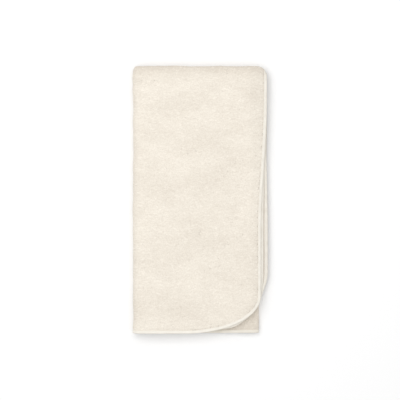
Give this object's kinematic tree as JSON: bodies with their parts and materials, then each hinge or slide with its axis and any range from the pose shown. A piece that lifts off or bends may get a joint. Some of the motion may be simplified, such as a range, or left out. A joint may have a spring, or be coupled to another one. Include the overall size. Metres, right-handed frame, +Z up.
{
  "type": "hooded baby towel",
  "caption": "Square cotton terry baby towel with a corner hood and bound edges, folded three times into a flat stack that opens like a book.",
  "frame": {"origin": "centre of the folded stack's footprint, on the surface that it lies on", "axes": "+Z up, +Y along the stack towards its folded top edge, +X from the last fold towards the side hems"},
  "size_m": [0.253, 0.5014, 0.0306],
  "materials": {
    "terry": "cream cotton terry, matt looped pile",
    "hood_terry": "cream cotton terry, matt looped pile",
    "binding": "off-white woven cotton tape, matt"
  },
  "bodies": {
    "back_half": {"terry_back": "terry", "binding_back_lower": "binding", "binding_back_upper": "binding", "terry_crease_outer": "terry", "terry_crease_inner": "terry", "binding_crease_first": "binding", "binding_crease_second": "binding", "binding_crease_third": "binding", "binding_crease_fourth": "binding"},
    "front_half": {"terry_front_outer": "terry", "terry_front_inner": "terry", "binding_front_outer": "binding", "binding_front_inner": "binding", "hood_panel": "hood_terry", "hood_edge_binding": "binding"}
  },
  "joints": [
    {"name": "last_fold", "type": "hinge", "parent": "back_half", "child": "front_half", "pos_m": [-0.11121, 0, 0.0153], "axis": [0, -1, 0], "range_deg": [0, 179.9], "deforming": ["terry_crease_outer", "terry_crease_inner", "binding_crease_first", "binding_crease_second", "binding_crease_third", "binding_crease_fourth"]}
  ]
}
